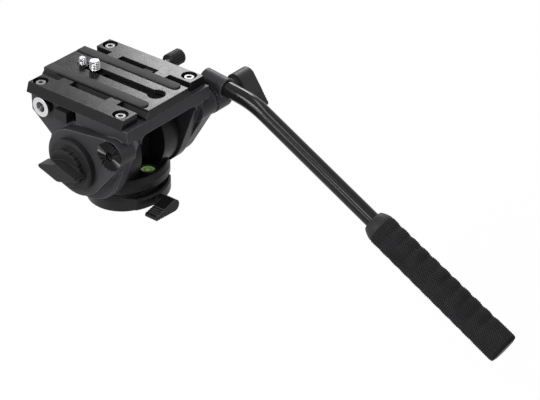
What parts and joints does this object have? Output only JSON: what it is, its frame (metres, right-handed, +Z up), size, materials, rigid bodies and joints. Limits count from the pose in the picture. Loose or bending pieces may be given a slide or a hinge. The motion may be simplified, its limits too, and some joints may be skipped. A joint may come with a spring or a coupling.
{
  "type": "fluid video head",
  "caption": "Black fluid video head with a flat round base, panning turret, tilting yoke, sliding camera plate and a cranked pan bar with a rubber grip.",
  "frame": {"origin": "mouth of the tripod thread, in the middle of the base's sole", "axes": "+Z up, +X back to the operator, +Y to the side of the pan bar"},
  "size_m": [0.4262, 0.1997, 0.185],
  "materials": {
    "black_paint": "fine satin",
    "charcoal_cast": "fine texture",
    "anodised": "satin",
    "black_plastic": "matte",
    "steel": "turned",
    "aluminium": "turned",
    "chrome": "bright",
    "brass": "turned",
    "rubber": "matte",
    "gloss_black": "gloss",
    "green_fluid": "clear fluid",
    "clear": "clear"
  },
  "bodies": {
    "base": {"base": "black_paint", "thread_bush": "steel", "pan_spindle": "steel", "base_screws": "steel", "pan_drag_disc": "brass"},
    "pan_pad": {"pan_brake_pad": "brass"},
    "pan_lock": {"pan_lock_stud": "steel", "pan_lock_lever": "black_plastic"},
    "turret": {"turret": "black_paint", "pan_bush": "brass", "pan_retaining_ring": "steel", "pan_thrust_washer": "brass", "bubble_cup": "black_plastic", "bubble_vial": "green_fluid", "bubble_window": "clear", "tilt_shaft": "steel", "shaft_nut": "steel", "tilt_brake_plate": "steel", "tilt_drag_cup": "aluminium", "counterbalance_spring": "steel"},
    "yoke": {"yoke": "charcoal_cast", "tilt_bushes": "brass", "friction_washers": "black_plastic", "tilt_drag_rotor": "steel", "tilt_end_cap": "black_plastic", "near_rosette": "charcoal_cast", "far_rosette": "charcoal_cast", "accessory_boss": "black_plastic", "accessory_insert": "chrome", "near_rail": "anodised", "far_rail": "anodised", "rail_screws": "chrome", "safety_spring": "steel"},
    "tilt_lock": {"tilt_lock_knob": "black_plastic", "tilt_lock_stud": "steel"},
    "plate_clamp": {"plate_clamp_knob": "black_plastic", "plate_clamp_stud": "steel"},
    "plate_pad": {"plate_clamp_pad": "black_plastic"},
    "safety": {"safety_button": "black_plastic"},
    "plate": {"camera_plate": "anodised", "near_strip": "rubber", "far_strip": "rubber", "plate_stops": "steel"},
    "quarter_slide": {"quarter_slider": "chrome"},
    "quarter_spin": {"quarter_screw": "chrome"},
    "wide_slide": {"wide_slider": "chrome"},
    "wide_spin": {"wide_screw": "chrome"},
    "bar": {"bar_clamp": "charcoal_cast", "bar_tube": "gloss_black", "bar_grip": "rubber", "grip_cap": "black_plastic"},
    "bar_lock": {"bar_bolt": "steel", "bar_lever": "black_plastic"}
  },
  "joints": [
    {"name": "pan", "type": "hinge", "parent": "base", "child": "turret", "pos_m": [0, 0, 0.0194], "axis": [0, 0, 1], "continuous": true},
    {"name": "pan_lock_turn", "type": "hinge", "parent": "base", "child": "pan_lock", "pos_m": [0.048, 0, 0.0099], "axis": [1, 0, 0], "range_deg": [0, 45]},
    {"name": "pan_pad_slide", "type": "slide", "parent": "base", "child": "pan_pad", "axis": [-1, 0, 0], "range_m": [0, 0.0004]},
    {"name": "tilt", "type": "hinge", "parent": "turret", "child": "yoke", "pos_m": [0, 0, 0.0579], "axis": [0, 1, 0], "range_deg": [-65, 60]},
    {"name": "tilt_lock_turn", "type": "hinge", "parent": "yoke", "child": "tilt_lock", "pos_m": [0, -0.06, 0.0579], "axis": [0, -1, 0], "range_deg": [-90, 45]},
    {"name": "plate_clamp_turn", "type": "hinge", "parent": "yoke", "child": "plate_clamp", "pos_m": [0.007, 0.06, 0.10965], "axis": [0, 1, 0], "range_deg": [0, 360]},
    {"name": "plate_pad_slide", "type": "slide", "parent": "yoke", "child": "plate_pad", "axis": [0, -1, 0], "range_m": [0, 0.001]},
    {"name": "safety_press", "type": "slide", "parent": "yoke", "child": "safety", "axis": [0, 1, 0], "range_m": [0, 0.0035], "stiffness_N_per_m": 400, "springref_m": -0.003, "deforming": ["safety_spring"]},
    {"name": "plate_slide", "type": "slide", "parent": "yoke", "child": "plate", "axis": [1, 0, 0], "range_m": [-0.025, 0.025]},
    {"name": "quarter_move", "type": "slide", "parent": "plate", "child": "quarter_slide", "axis": [1, 0, 0], "range_m": [-0.0005, 0.035]},
    {"name": "quarter_turn", "type": "hinge", "parent": "quarter_slide", "child": "quarter_spin", "pos_m": [-0.042, 0, 0.1145], "axis": [0, 0, 1], "continuous": true},
    {"name": "wide_move", "type": "slide", "parent": "quarter_slide", "child": "wide_slide", "axis": [1, 0, 0], "range_m": [-0.0005, 0.03]},
    {"name": "wide_turn", "type": "hinge", "parent": "wide_slide", "child": "wide_spin", "pos_m": [-0.0275, 0, 0.1145], "axis": [0, 0, 1], "continuous": true},
    {"name": "bar_swing", "type": "hinge", "parent": "yoke", "child": "bar", "pos_m": [0.045, 0.074, 0.0824], "axis": [0, 1, 0], "range_deg": [-100, 60]},
    {"name": "bar_lock_turn", "type": "hinge", "parent": "bar", "child": "bar_lock", "pos_m": [0.045, 0.082, 0.0824], "axis": [0, 1, 0], "range_deg": [-90, 90]}
  ],
  "couplings": [
    {"joint": "pan_pad_slide", "follows": "pan_lock_turn", "m_per_rad": 0.00050879},
    {"joint": "plate_pad_slide", "follows": "plate_clamp_turn", "m_per_rad": 0.000159}
  ]
}
